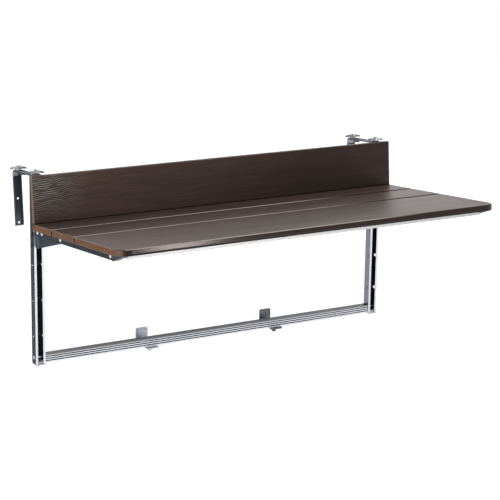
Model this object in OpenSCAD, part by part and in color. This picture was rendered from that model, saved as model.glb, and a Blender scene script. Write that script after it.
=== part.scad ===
// Folding balcony table that hangs on a railing by two adjustable hooks.
// Millimetres. X runs along the table, Y points from the user to the railing, Z is up.
// The origin is the railing seat: the middle of the table, at the railing side of the post tops,
// level with the underside of the hook arms.

/* [Tabletop] */
// Length of the tabletop
top_len = 800; // [600:10:1000]
// Depth of the front slat
front_slat_d = 180; // [120:5:220]
// Depth of the middle slat
middle_slat_d = 95; // [70:5:120]
// Depth of the rear slat, with the part under the backboard
rear_slat_d = 89; // [60:1:120]
// Gap between slats
slat_gap = 3; // [1:0.5:6]
// Thickness of the slats
slat_t = 12; // [9:1:18]
// Radius of the two front corners
corner_r = 25; // [5:1:40]
// Chamfer on the edges of the boards
edge_c = 1.2; // [0.4:0.2:2.5]
// Height of the backboard
board_h = 90; // [60:5:140]
// Thickness of the backboard
board_t = 12; // [9:1:18]

/* [Arms] */
// Thickness of the arms' folded sheet
arm_wall = 1.5; // [1:0.25:2]
// Depth of the arms below the slats
arm_h = 12.5; // [11:0.5:18]
// How far the arms stop behind the front edge
arm_setback = 52; // [30:2:80]
// Length of the sloping nose at the front of each arm
nose_len = 40; // [20:2:44]
// Drop of the nose below the arm
nose_drop = 2; // [0:0.5:4]
// Sheet thickness of the gussets
gusset_t = 2; // [1.5:0.25:2.5]
// How far the gussets reach under the table from its rear edge
gusset_reach = 108; // [70:2:140]
// Height of the front cross bar
bar_h = 9; // [6:0.5:12]
// How far the cross bar stands behind the front edge
bar_setback = 22; // [12:1:40]
// Diameter of the rivets
rivet_d = 4; // [3:0.5:5]

/* [Frame] */
// Width of the posts
post_w = 20; // [18:1:26]
// Depth of the posts
post_d = 18; // [17:1:24]
// Wall of the posts
post_wall = 1.5; // [1:0.25:2]
// Width of the open slot in front of the posts
post_slot = 11; // [10:0.5:12]
// Length of the posts below the seat
post_len = 364; // [330:2:460]
// How far the posts stand in from the table's ends
post_inset = 9; // [4:1:40]
// Backward lean of the hanging frame, in degrees
frame_lean = 5; // [0:0.5:6]
// Depth of the pivot below the slats
pivot_depth = 33; // [29:1:38]
// Height of the lock bolt above the pivot
lock_rise = 22; // [21:0.5:26]
// Spacing of the height holes in the posts
hole_pitch = 70; // [60:1:72]
// Diameter of the bolts
bolt_d = 6; // [5:0.5:6]
// Height of the bottom rail
rail_h = 17; // [17:1:22]
// Depth of the bottom rail
rail_d = 16; // [15:0.5:17]
// Wall of the bottom rail
rail_wall = 1.5; // [1.2:0.1:2]

/* [Hooks] */
// Width of the hook strips
hook_w = 16; // [15:1:22]
// Thickness of the hook arms
hook_arm_t = 3; // [2:0.5:4]
// Thickness of the hook legs
hook_leg_t = 2; // [1.5:0.5:3]
// Greatest gap for the railing, between the posts and the hook legs
hook_reach = 80; // [70:1:110]
// Length of the hook legs
hook_leg_len = 105; // [70:5:150]
// Depth of the folded edges of the hook legs
hook_flange = 4; // [3.5:0.5:10]
// Travel of the hook legs towards the posts
hook_travel = 45; // [20:1:45]

/* [Rests] */
// Distance between the two rests
rest_span = 286; // [200:2:500]
// Width of the rest brackets
rest_w = 26; // [20:1:30]
// Sheet thickness of the rest brackets
rest_t = 2; // [1.5:0.5:3]
// Reach of the rest brackets behind their bolts
rest_reach = 38; // [30:1:60]
// Height of the upright end of the rest brackets
rest_h = 30; // [26:1:60]
// Travel of the rest brackets each way, towards the railing
rest_travel = 8; // [4:1:10]
// Span of the wing nuts
wing_span = 32; // [26:1:36]

/* [Hidden] */
$fn = 48;

WOOD = "#4a3a34";
STEEL = "#4d5862";
ALU = "#c3c6cb";
ZINC = "#dfe1e4";
PLASTIC = "#2b2d30";
RUBBER = "#1d1d1e";
FOOT = "#b9bcc0";
GALV = "#9aa2aa";

// Running clearance between bolts, rivets or screws and their holes
fit = 0.05;
// Play between parts that slide on each other
play = 0.3;
// Gap between the backboard and the post tops
board_gap = 2;
// How far the backboard rises above the seat
board_over = 3;
// Extra length of cuts past a face
eps = 1;

top_d = front_slat_d + middle_slat_d + rear_slat_d + 2 * slat_gap;
y_rear = -(post_d + board_gap);
y_front = y_rear - top_d;
z_top = board_over - board_h;
z_under = z_top - slat_t;

// Arms and posts share one centre line on each side
arm_x = top_len / 2 - post_inset - post_w / 2;
gusset_w = post_slot - 2 * 0.4;
arm_w = gusset_w + 2 * arm_wall + 2 * 0.1;
arm_rear = y_rear + 8;
arm_front = y_front + arm_setback;
rivet_z = z_under - arm_h / 2;
rivet_pitch = 20;
rivet_ys = [y_rear + 2, y_rear + 2 - rivet_pitch, y_rear - gusset_reach + 6];
rivet_head_d = 1.8 * rivet_d;
rivet_head_h = 0.5 * rivet_d;

// Pivot and lock bolts lie on the middle line of the leaning posts
bolt_r = bolt_d / 2;
bolt_in = post_d / 2 + 0.5;
pivot_drop = pivot_depth - z_under;
lock_drop = pivot_drop - lock_rise;
function lean_y(y, z) = y * cos(frame_lean) - z * sin(frame_lean);
function lean_z(y, z) = y * sin(frame_lean) + z * cos(frame_lean);
pivot_y = lean_y(-bolt_in, -pivot_drop);
pivot_z = lean_z(-bolt_in, -pivot_drop);
lock_y = lean_y(-bolt_in, -lock_drop);
lock_z = lean_z(-bolt_in, -lock_drop);
cheek_r = bolt_r + 4;
cheek_in = post_wall + 1;

post_lip = (post_w - post_slot) / 2;
post_top = 3;
rail_z = -post_len + rail_h / 2;
rail_y = -post_d / 2;
rail_len = 2 * arm_x - post_w;

// Wood screws
screw_d = 3.5;
screw_head_d = 6.4;
screw_head_h = 2.2;
screw_in = slat_t - 3;
arm_screw_head_d = gusset_w - 2 * gusset_t - 0.4;
slat_screw_ys = [
    y_rear - 0.28 * rear_slat_d, y_rear - 0.78 * rear_slat_d,
    y_rear - rear_slat_d - slat_gap - 0.25 * middle_slat_d,
    y_rear - rear_slat_d - slat_gap - 0.75 * middle_slat_d,
    y_front + 0.75 * front_slat_d, y_front + 0.4 * front_slat_d
];
board_screw_in = 32;
board_screw_n = 5;
board_screw_inset = 60;
board_screw_pitch = (top_len - 2 * board_screw_inset) / (board_screw_n - 1);
bar_screw_n = 4;
bar_leg = 14;
bar_t = 2;
bar_len = 2 * arm_x - arm_w - 2 * play;
bar_screw_y = y_front + bar_setback + bar_t + (bar_leg - bar_t) / 2;

// Rail section
groove_w = 2.2;
groove_d = 1.2;
groove_n = 3;
tee_mouth = bolt_d + 2 * play;
tee_w = 11.5;
tee_h = 4.6;

// Hook and rest hardware
nut_h = 6.5;
nut_hub_d = 12;
wing_lift = 1.2;
wing_arch_r = 34;
wing_tip_r = 3.5;
hex_h = 5;
hex_across = 11;
bushing_d = 11;
seat_bolt_y = -post_d / 2;
hook_rear = hook_reach + hook_flange + hook_leg_t;
hook_bolt_y = hook_rear - 11;
hook_tab = 24;
hook_arm_front = -post_d + 1;
seat_plug = 26;
rest_bolt_y = rail_y;
rest_x = rest_span / 2;
rest_under = -post_len - rest_t;
rest_back = rest_bolt_y + rest_reach;
pad_t = 3;

// Turn a shape about the seat line with the leaning frame
module leaned() {
    rotate([frame_lean, 0, 0]) children();
}

// Repeat a shape on both sides of the table
module both_sides(x) {
    for (side = [-1, 1]) translate([side * x, 0, 0]) children();
}

// Round bar along X
module rod_x(d, len) {
    rotate([0, 90, 0]) cylinder(h = len, d = d, center = true);
}

// Extrude a shape drawn in Y and Z along X
module yz_extrude(len) {
    rotate([90, 0, 90]) linear_extrude(len) children();
}

// Board with chamfered edges, from its low corner
module board(len, dep, t) {
    intersection() {
        yz_extrude(len) chamfered(dep, t);
        translate([0, dep, 0]) rotate([90, 0, 0]) linear_extrude(dep) chamfered(len, t);
    }
}

module chamfered(w, t) {
    c = edge_c;
    polygon([
        [c, 0], [w - c, 0], [w, c], [w, t - c],
        [w - c, t], [c, t], [0, t - c], [0, c]
    ]);
}

module slat(y, dep) {
    translate([-top_len / 2, y, z_under]) board(top_len, dep, slat_t);
}

// Pilot holes of the slat screws over both arms
module slat_pilots() {
    both_sides(arm_x) for (y = slat_screw_ys)
        translate([0, y, z_under - eps]) cylinder(h = screw_in + eps, d = screw_d + 2 * fit);
}

module front_slat() {
    color(WOOD) difference() {
        union() {
            intersection() {
                slat(y_front, front_slat_d);
                translate([-top_len / 2, y_front, z_under - eps])
                    linear_extrude(slat_t + 2 * eps) front_outline();
            }
            both_sides(top_len / 2 - corner_r) translate([0, y_front + corner_r, z_under]) corner_disc();
        }
        slat_pilots();
        for (x = bar_screw_xs()) translate([x, bar_screw_y, z_under - eps])
            cylinder(h = screw_in + eps, d = screw_d + 2 * fit);
    }
}

// Front slat seen from above, without its two round front corners
module front_outline() {
    r = corner_r;
    translate([0, r]) square([top_len, front_slat_d - r]);
    translate([r, 0]) square([top_len - 2 * r, r + eps]);
}

// Round corner of the front slat, with the same chamfers as its edges
module corner_disc() {
    rotate_extrude($fn = 96) polygon([
        [0, 0], [corner_r - edge_c, 0], [corner_r, edge_c],
        [corner_r, slat_t - edge_c], [corner_r - edge_c, slat_t], [0, slat_t]
    ]);
}

module middle_slat() {
    color(WOOD) difference() {
        slat(y_front + front_slat_d + slat_gap, middle_slat_d);
        slat_pilots();
    }
}

function board_screw_x(i) = (i - (board_screw_n - 1) / 2) * board_screw_pitch;
function bar_screw_xs() = [
    for (i = [0:bar_screw_n - 1]) (i - (bar_screw_n - 1) / 2) * bar_len / bar_screw_n
];

module rear_slat() {
    color(WOOD) difference() {
        slat(y_rear - rear_slat_d, rear_slat_d);
        slat_pilots();
        board_screw_holes();
    }
}

module backboard() {
    color(WOOD) difference() {
        translate([-top_len / 2, y_rear, z_top]) rotate([90, 0, 0]) board(top_len, board_h, board_t);
        board_screw_holes();
    }
}

// Stepped holes of the screws that hold the backboard from below
module board_screw_holes() {
    for (i = [0:board_screw_n - 1])
        translate([board_screw_x(i), y_rear - board_t / 2, z_under]) {
            translate([0, 0, -eps]) cylinder(h = slat_t + board_screw_in + eps, d = screw_d + 2 * fit);
            translate([0, 0, -eps]) cylinder(h = screw_head_h + play + eps, d = screw_head_d + 2 * fit);
        }
}

module backboard_screws() {
    color(ZINC) for (i = [0:board_screw_n - 1])
        translate([board_screw_x(i), y_rear - board_t / 2, z_under + play])
            wood_screw(slat_t + board_screw_in - 2);
}

// Pan-head wood screw, pointing up, with a cross recess in its head
module wood_screw(len, head_d = screw_head_d) {
    difference() {
        union() {
            cylinder(h = screw_head_h, d = head_d);
            cylinder(h = len - screw_d, d = screw_d);
            translate([0, 0, len - screw_d]) cylinder(h = screw_d, d1 = screw_d, d2 = 0.6);
        }
        for (a = [0, 90]) rotate(a)
            translate([-head_d * 0.3, -0.4, -eps]) cube([head_d * 0.6, 0.8, 0.9 + eps]);
    }
}

// Arm: a folded channel with its web against the slats and its walls hanging down
module arm(side) {
    web_len = arm_rear - arm_front;
    color(STEEL) translate([side * arm_x, 0, 0]) difference() {
        translate([-arm_w / 2, arm_front, z_under - arm_h]) cube([arm_w, web_len, arm_h]);
        translate([-arm_w / 2 + arm_wall, arm_front - eps, z_under - arm_h - eps])
            cube([arm_w - 2 * arm_wall, web_len + 2 * eps, arm_h - arm_wall + eps]);
        for (y = slat_screw_ys) translate([0, y, z_under - arm_h])
            cylinder(h = arm_h + eps, d = screw_d + 2 * fit);
        for (y = concat(rivet_ys, [nose_rivet_y])) translate([0, y, rivet_z])
            rod_x(rivet_d + 2 * fit, arm_w + 2 * eps);
    }
}

module left_arm() { arm(-1); }
module right_arm() { arm(1); }

// Gusset: two cheeks joined by a web along their sloping lower edge.
// The cheeks reach into the slot of the post, where they turn on the pivot bolt.
gusset_top = z_under - arm_wall - 0.1;
gusset_front_y = y_rear - gusset_reach;
gusset_front_z = z_under - arm_h + 0.5;
gusset_web_end = -bolt_in - 5;
gusset_slope = (gusset_front_z - (pivot_z - cheek_r)) / (gusset_front_y - pivot_y);
function gusset_low(y) = pivot_z - cheek_r + gusset_slope * (y - pivot_y);

module cheek_outline() {
    low = -pivot_drop;
    top = low + lock_rise + bolt_r + 5;
    rear = -cheek_in;
    translate([pivot_y, pivot_z]) circle(cheek_r);
    polygon([
        [lean_y(rear, low), lean_z(rear, low)], [lean_y(rear, top), lean_z(rear, top)],
        [arm_rear + 0.5, gusset_top], [gusset_front_y, gusset_top], [gusset_front_y, gusset_front_z],
        [pivot_y, pivot_z - cheek_r]
    ]);
}

// Notch, open to the rear, that leaves the lock bolt as the table folds
module lock_notch() {
    r = bolt_r + 0.9;
    translate([lock_y, lock_z - 0.3]) circle(r);
    translate([lock_y, lock_z - 0.3 - r]) square([post_d, 2 * r]);
}

module gusset(side) {
    color(STEEL) translate([side * arm_x, 0, 0]) difference() {
        union() {
            for (s = [0, 1]) mirror([s, 0, 0])
                translate([gusset_w / 2 - gusset_t, 0, 0]) yz_extrude(gusset_t) difference() {
                    cheek_outline();
                    lock_notch();
                }
            translate([-gusset_w / 2, 0, 0]) yz_extrude(gusset_w) gusset_web();
        }
        translate([0, pivot_y, pivot_z]) rod_x(bolt_d + 2 * fit, gusset_w + 2 * eps);
        for (y = rivet_ys) translate([0, y, rivet_z]) rod_x(rivet_d + 2 * fit, gusset_w + 2 * eps);
    }
}

// Strip along the sloping lower edge of the cheeks
module gusset_web() {
    a = gusset_front_y;
    b = pivot_y + gusset_web_end;
    polygon([
        [a, gusset_low(a)], [b, gusset_low(b)],
        [b, gusset_low(b) + gusset_t], [a, gusset_low(a) + gusset_t]
    ]);
}

module left_gusset() { gusset(-1); }
module right_gusset() { gusset(1); }

// Nose: moulded cap that closes the front of the arm with a sloping face
nose_plug = 14;
nose_rivet_y = arm_front + nose_plug / 2;
module nose(side) {
    low = z_under - arm_h - nose_drop;
    color(STEEL) translate([side * arm_x, 0, 0]) difference() {
        union() {
            translate([-arm_w / 2, 0, 0]) yz_extrude(arm_w) polygon([
                [arm_front, z_under], [arm_front, low], [arm_front - 1.5, low],
                [arm_front - nose_len, z_under - 2], [arm_front - nose_len, z_under]
            ]);
            translate([-(arm_w / 2 - arm_wall - 0.1), arm_front - eps, z_under - arm_h + 0.5])
                cube([arm_w - 2 * arm_wall - 0.2, nose_plug + eps, arm_h - arm_wall - 0.6]);
        }
        translate([0, nose_rivet_y, rivet_z]) rod_x(rivet_d + 2 * fit, arm_w + 2 * eps);
    }
}

module left_nose() { nose(-1); }
module right_nose() { nose(1); }

// Domed rivets that hold the gussets and noses in the arms
module arm_rivets() {
    color(ZINC) both_sides(arm_x) for (y = concat(rivet_ys, [nose_rivet_y]))
        translate([0, y, rivet_z]) {
            rod_x(rivet_d, arm_w);
            for (s = [-1, 1]) rotate([0, s * 90, 0]) translate([0, 0, arm_w / 2]) rivet_head();
        }
}

// Flat dome, as a cap of a sphere
module rivet_head() {
    r = (pow(rivet_head_d / 2, 2) + pow(rivet_head_h, 2)) / (2 * rivet_head_h);
    intersection() {
        translate([0, 0, rivet_head_h - r]) sphere(r);
        cylinder(h = rivet_head_h, d = rivet_head_d);
    }
}

module slat_screws() {
    color(ZINC) both_sides(arm_x) for (y = slat_screw_ys)
        translate([0, y, z_under - arm_wall - screw_head_h])
            wood_screw(screw_head_h + arm_wall + screw_in - 1, arm_screw_head_d);
}

// Front cross bar: an angle section under the front slat, between the arms
module cross_bar() {
    color(ALU) difference() {
        translate([-bar_len / 2, 0, 0]) yz_extrude(bar_len) polygon([
            [y_front + bar_setback, z_under], [y_front + bar_setback, z_under - bar_h],
            [y_front + bar_setback + bar_t, z_under - bar_h],
            [y_front + bar_setback + bar_t, z_under - bar_t],
            [y_front + bar_setback + bar_leg, z_under - bar_t],
            [y_front + bar_setback + bar_leg, z_under]
        ]);
        for (x = bar_screw_xs()) translate([x, bar_screw_y, z_under - bar_h])
            cylinder(h = bar_h + eps, d = screw_d + 2 * fit);
    }
}

module cross_bar_screws() {
    color(ZINC) for (x = bar_screw_xs()) translate([x, bar_screw_y, z_under - bar_t - screw_head_h])
        wood_screw(screw_head_h + bar_t + screw_in - 1);
}

// Post section: an open C with two front lips
module post_section() {
    difference() {
        translate([-post_w / 2, -post_d]) square([post_w, post_d]);
        translate([-post_w / 2 + post_wall, -post_d + post_wall])
            square([post_w - 2 * post_wall, post_d - 2 * post_wall]);
        translate([-post_slot / 2, -post_d - eps]) square([post_slot, post_wall + 2 * eps]);
    }
}

module post(side) {
    color(ALU) leaned() translate([side * arm_x, 0, 0]) difference() {
        translate([0, 0, -post_len]) linear_extrude(post_len - post_top) post_section();
        for (z = [-pivot_drop, -lock_drop]) translate([0, -bolt_in, z])
            rod_x(bolt_d + 2 * fit, post_w + 2 * eps);
        for (i = [0:hole_n - 1]) translate([0, -bolt_in, -hole_drop - i * hole_step])
            rod_x(height_hole_d, post_w + 2 * eps);
        translate([0, rail_y, rail_screw_z]) rod_x(rail_screw_d + 2 * fit, post_w + 2 * eps);
    }
}

// Free height holes between the pivot and the bottom rail
height_hole_d = bolt_d + 0.4;
hole_n = 3;
hole_drop = pivot_drop + 39;
hole_step = min(hole_pitch, (post_len - rail_h - hole_drop - 8) / (hole_n - 1));

module left_post() { post(-1); }
module right_post() { post(1); }

// One self-tapping screw holds each end of the rail
rail_screw_d = 4;
rail_screw_in = 14;
rail_screw_z = rail_z + rail_h / 2 - 5.2;
rail_boss_r = rail_screw_d / 2 + 1.3;

// Seat block: plugs the top of the post and gives the hook arm a level seat
module seat_block(side) {
    plug_w = post_w - 2 * post_wall - 2 * play;
    plug_d = post_d - 2 * post_wall - 2 * play;
    color(PLASTIC) difference() {
        intersection() {
            leaned() translate([side * arm_x, 0, 0]) {
                translate([-plug_w / 2, -post_d / 2 - plug_d / 2, -seat_plug])
                    cube([plug_w, plug_d, seat_plug]);
                translate([-post_w / 2, -post_d, -post_top]) cube([post_w, post_d, post_top + 5]);
            }
            translate([side * arm_x - post_w, -2 * post_d, -2 * seat_plug])
                cube([2 * post_w, 4 * post_d, 2 * seat_plug]);
        }
        translate([side * arm_x, seat_bolt_y, -2 * seat_plug])
            cylinder(h = 2 * seat_plug + eps, d = bolt_d + 2 * fit);
        translate([side * arm_x, seat_bolt_y, -2 * seat_plug])
            cylinder(h = 2 * seat_plug - seat_bolt_in, d = seat_head_d + 2 * play);
    }
    color(PLASTIC) translate([side * arm_x, seat_bolt_y + seat_key_in, -eps])
        cylinder(h = hook_arm_t - 0.5 + eps, d = seat_key_d);
}

seat_bolt_in = 18;
seat_head_d = 10;
// A small boss on the seat keeps the hook arm square
seat_key_d = 3;
seat_key_in = bolt_r + seat_key_d / 2 + 1;

module left_seat_block() { seat_block(-1); }
module right_seat_block() { seat_block(1); }

// Foot: moulded cap in the lower end of the post
module foot(side) {
    plug_w = post_w - 2 * post_wall - 2 * play;
    plug_d = post_d - 2 * post_wall - 2 * play;
    color(FOOT) leaned() translate([side * arm_x, 0, -post_len]) difference() {
        union() {
            translate([-post_w / 2, -post_d, -foot_t]) cube([post_w, post_d, foot_t]);
            translate([-plug_w / 2, -post_d / 2 - plug_d / 2, -eps]) cube([plug_w, plug_d, foot_plug + eps]);
        }
        translate([-post_w / 2, -post_d - eps, -foot_t - eps]) corner_cut();
        mirror([1, 0, 0]) translate([-post_w / 2, -post_d - eps, -foot_t - eps]) corner_cut();
    }
}

foot_t = 2.5;
foot_plug = 4;
module corner_cut() {
    rotate([-90, 0, 0]) linear_extrude(post_d + 2 * eps)
        polygon([[-eps, eps], [1.2, eps], [1.2, -eps], [-eps, -eps - 1.2]]);
}

module left_foot() { foot(-1); }
module right_foot() { foot(1); }

// Rail section drawn in Y and Z about its middle: ribbed front, hollow, screw boss, tee slot below
module rail_section() {
    w = rail_d;
    h = rail_h;
    pitch = (h - 2 * rail_wall) / (groove_n + 0.5);
    difference() {
        square([w, h], center = true);
        for (i = [0:groove_n - 1])
            translate([-w / 2 - eps, (i - (groove_n - 1) / 2) * pitch - groove_w / 2])
                square([groove_d + eps, groove_w]);
        difference() {
            translate([-w / 2 + rail_wall + groove_d, -h / 2 + 2 * rail_wall + tee_h])
                square([w - 2 * rail_wall - groove_d, h - 3 * rail_wall - tee_h]);
            translate([0, rail_screw_z - rail_z]) circle(rail_boss_r);
            translate([0, rail_screw_z - rail_z - 0.6]) square([w / 2, 1.2]);
        }
        translate([-tee_w / 2, -h / 2 + rail_wall]) square([tee_w, tee_h]);
        translate([-tee_mouth / 2, -h / 2 - eps]) square([tee_mouth, rail_wall + 2 * eps]);
        translate([0, rail_screw_z - rail_z]) circle(rail_screw_d / 2 + fit);
    }
}

module bottom_rail() {
    color(ALU) leaned() translate([-rail_len / 2, rail_y, rail_z]) yz_extrude(rail_len) rail_section();
}

module rail_screws() {
    color(ZINC) leaned() for (side = [-1, 1])
        translate([side * (arm_x + post_w / 2), rail_y, rail_screw_z]) rotate([0, -side * 90, 0]) {
            cylinder(h = post_w + rail_screw_in, d = rail_screw_d);
            translate([0, 0, -1.8]) cylinder(h = 1.8, d1 = 5, d2 = 7);
        }
}

// Bolts across the posts, with their heads outside
module cross_bolt(side, drop) {
    translate([side * arm_x, -bolt_in, -drop]) rotate([0, side * 90, 0]) {
        translate([0, 0, -post_w / 2 - hex_h - 2]) cylinder(h = post_w + hex_h + 2, d = bolt_d);
        translate([0, 0, post_w / 2]) button_head();
    }
}

module button_head() {
    difference() {
        intersection() {
            translate([0, 0, 3.2 - 9]) sphere(9);
            cylinder(h = 3.2, d = 1.75 * bolt_d);
        }
        translate([0, 0, 1.4]) cylinder(h = 3, d = 0.55 * bolt_d, $fn = 6);
    }
}

module pivot_bolts() {
    color(ZINC) leaned() for (side = [-1, 1]) cross_bolt(side, pivot_drop);
}

module lock_bolts() {
    color(ZINC) leaned() for (side = [-1, 1]) cross_bolt(side, lock_drop);
}

// Hexagon nuts on the inner side of the posts
module cross_nuts(drop) {
    color(ZINC) leaned() for (side = [-1, 1])
        translate([side * (arm_x - post_w / 2), -bolt_in, -drop]) rotate([0, -side * 90, 0]) hex_nut();
}

// Hexagon nut, standing on z = 0
module hex_nut() {
    difference() {
        cylinder(h = hex_h, d = hex_across, $fn = 6);
        translate([0, 0, -eps]) cylinder(h = hex_h + 2 * eps, d = bolt_d + 2 * fit);
    }
}

module pivot_nuts() { cross_nuts(pivot_drop); }
module lock_nuts() { cross_nuts(lock_drop); }

// Bushings that keep the cheeks in the middle of the post
module pivot_bushings() {
    gap = (post_w - 2 * post_wall - gusset_w) / 2;
    color(PLASTIC) leaned() for (side = [-1, 1]) for (s = [-1, 1])
        translate([side * arm_x + s * (gusset_w / 2 + gap / 2), -bolt_in, -pivot_drop]) difference() {
            rod_x(bushing_d, gap - 0.2);
            rod_x(bolt_d + 2 * fit, gap + eps);
        }
}

// Seat bolts stand up out of the seat blocks and hold the hook arms
module seat_bolts() {
    color(ZINC) for (side = [-1, 1]) translate([side * arm_x, seat_bolt_y, -seat_bolt_in]) {
        cylinder(h = seat_bolt_in + hook_arm_t + washer_t + nut_h + bolt_out, d = bolt_d);
        translate([0, 0, -4]) cylinder(h = 4, d = seat_head_d);
        translate([0, 0, seat_bolt_in + hook_arm_t]) cylinder(h = washer_t, d = 2.2 * bolt_d);
    }
}

washer_t = 1.2;
bolt_out = 1.4;

// Wing nut on a vertical bolt, standing on z = 0, with a low arched top
module wing_nut() {
    color(ZINC) difference() {
        intersection() {
            union() {
                cylinder(h = nut_h, d = nut_hub_d);
                translate([0, 0, wing_lift]) linear_extrude(nut_h) wings_outline();
            }
            translate([0, 0, nut_h - wing_arch_r]) rotate([90, 0, 0])
                cylinder(h = 2 * nut_hub_d, r = wing_arch_r, center = true, $fn = 120);
        }
        translate([0, 0, -eps]) cylinder(h = nut_h + 2 * eps, d = bolt_d + 2 * fit);
    }
}

// Both wings seen from above, narrow at their round tips
module wings_outline() {
    reach = wing_span / 2 - wing_tip_r;
    root = nut_hub_d / 2 - 1.2;
    polygon([
        [0, -root], [reach, -wing_tip_r], [reach, wing_tip_r],
        [0, root], [-reach, wing_tip_r], [-reach, -wing_tip_r]
    ]);
    for (x = [-reach, reach]) translate([x, 0]) circle(wing_tip_r);
}

seat_nut_turn = -21;
hook_nut_turn = -29;

module seat_nut(side) {
    translate([side * arm_x, seat_bolt_y, hook_arm_t + washer_t]) rotate(seat_nut_turn) wing_nut();
}

module left_seat_nut() { seat_nut(-1); }
module right_seat_nut() { seat_nut(1); }

// Hook arm: flat strip with a long slot for the hook's bolt
module hook_arm(side) {
    color(STEEL) translate([side * arm_x, 0, 0]) difference() {
        linear_extrude(hook_arm_t) difference() {
            strip_outline(hook_arm_front, hook_rear, hook_w, 3);
            translate([0, seat_bolt_y]) circle(bolt_r + fit);
            translate([0, seat_bolt_y + seat_key_in]) circle(seat_key_d / 2 + fit);
            slot_outline(hook_bolt_y - hook_travel, hook_bolt_y, bolt_r + play);
        }
    }
}

// Strip along Y with round corners
module strip_outline(y0, y1, w, r) {
    translate([-w / 2, y0 + r]) square([w, y1 - y0 - 2 * r]);
    translate([-w / 2 + r, y0]) square([w - 2 * r, y1 - y0]);
    for (sx = [-1, 1]) for (y = [y0 + r, y1 - r]) translate([sx * (w / 2 - r), y]) circle(r);
}

// Slot along Y, between the centres of its round ends
module slot_outline(y0, y1, r) {
    translate([-r, y0]) square([2 * r, y1 - y0]);
    translate([0, y0]) circle(r);
    translate([0, y1]) circle(r);
}

module left_hook_arm() { hook_arm(-1); }
module right_hook_arm() { hook_arm(1); }

// Hook leg: a channel bent over at the top into a tab that lies under the hook arm
module hook_leg(side) {
    w = hook_w;
    t = hook_leg_t;
    color(STEEL) translate([side * arm_x, 0, 0]) difference() {
        union() {
            translate([-w / 2, 0, 0]) yz_extrude(w) leg_bend();
            for (s = [0, 1]) mirror([s, 0, 0]) translate([w / 2 - t, 0, 0]) yz_extrude(t) leg_flange();
        }
        translate([0, hook_bolt_y, -t - play - eps]) cylinder(h = t + 2 * eps, d = bolt_d + 2 * fit);
        for (z = hook_hole_zs) translate([0, hook_rear - t - eps, z])
            rotate([-90, 0, 0]) cylinder(h = t + 2 * eps, d = hook_hole_d);
    }
}

// Web of the leg, bent over at the top, drawn in Y and Z
module leg_bend() {
    t = hook_leg_t;
    r = hook_bend;
    translate([hook_rear - t, -hook_leg_len]) square([t, hook_leg_len - play - r]);
    translate([hook_rear - hook_tab, -play - t]) square([hook_tab - r, t]);
    translate([hook_rear - r, -play - r]) intersection() {
        difference() {
            circle(r);
            circle(r - t);
        }
        square(r);
    }
}

hook_bend = 4;
hook_hole_d = 4.5;
hook_hole_in = 6;
hook_hole_zs = [-hook_leg_len / 2, -hook_leg_len + hook_hole_in];

// Side flange of the leg, with a bevelled lower end and a curved corner under the tab
module leg_flange() {
    r = 6;
    d = hook_flange + hook_leg_t;
    top = -play;
    bevel = hook_flange - 1;
    translate([hook_rear, 0]) polygon([
        [0, -hook_leg_len], [-hook_leg_t, -hook_leg_len], [-d, -hook_leg_len + bevel],
        [-d, top - d], [0, top - d]
    ]);
    translate([hook_rear - hook_tab, top - d]) square([hook_tab - hook_bend, d]);
    translate([hook_rear - hook_bend, top - d]) square([hook_bend, d - hook_bend]);
    translate([hook_rear - hook_bend, top - hook_bend]) intersection() {
        circle(hook_bend);
        square(hook_bend);
    }
    translate([hook_rear - d - r, top - d - r]) difference() {
        square([r, r]);
        circle(r);
    }
}

module left_hook_leg() { hook_leg(-1); }
module right_hook_leg() { hook_leg(1); }

// Hook bolt: round head under the tab, shank up through the slot of the arm
module hook_bolt(side) {
    under = -hook_leg_t - play;
    color(ZINC) translate([side * arm_x, hook_bolt_y, under]) {
        translate([0, 0, -2.4]) intersection() {
            translate([0, 0, 9]) sphere(9);
            cylinder(h = 2.4, d = min(2 * bolt_d, hook_w - 2 * hook_leg_t - 1));
        }
        cylinder(h = -under + hook_arm_t + play + washer_t + nut_h + bolt_out, d = bolt_d);
        translate([0, 0, -under + hook_arm_t + play]) cylinder(h = washer_t, d = 2.2 * bolt_d);
    }
}

module left_hook_bolt() { hook_bolt(-1); }
module right_hook_bolt() { hook_bolt(1); }

module hook_nut(side) {
    translate([side * arm_x, hook_bolt_y, hook_arm_t + play + washer_t]) rotate(hook_nut_turn) wing_nut();
}

module left_hook_nut() { hook_nut(-1); }
module right_hook_nut() { hook_nut(1); }

// Rest bolt: flat head in the tee slot of the rail, shank down through the bracket
rest_head_h = tee_h - 2 * play;
module rest_bolt(side) {
    z0 = -post_len + rail_wall + play;
    color(ZINC) leaned() translate([side * rest_x, rest_bolt_y, 0]) {
        translate([-tee_w / 2 + play, -tee_w / 2 + play, z0])
            cube([tee_w - 2 * play, tee_w - 2 * play, rest_head_h]);
        translate([0, 0, rest_under - 2 * play - washer_t - hex_h - 2])
            cylinder(h = z0 - rest_under + 2 * play + washer_t + hex_h + 3, d = bolt_d);
        translate([0, 0, rest_under - 2 * play - washer_t]) cylinder(h = washer_t, d = 2.2 * bolt_d);
    }
}

module left_rest_bolt() { rest_bolt(-1); }
module right_rest_bolt() { rest_bolt(1); }

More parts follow.
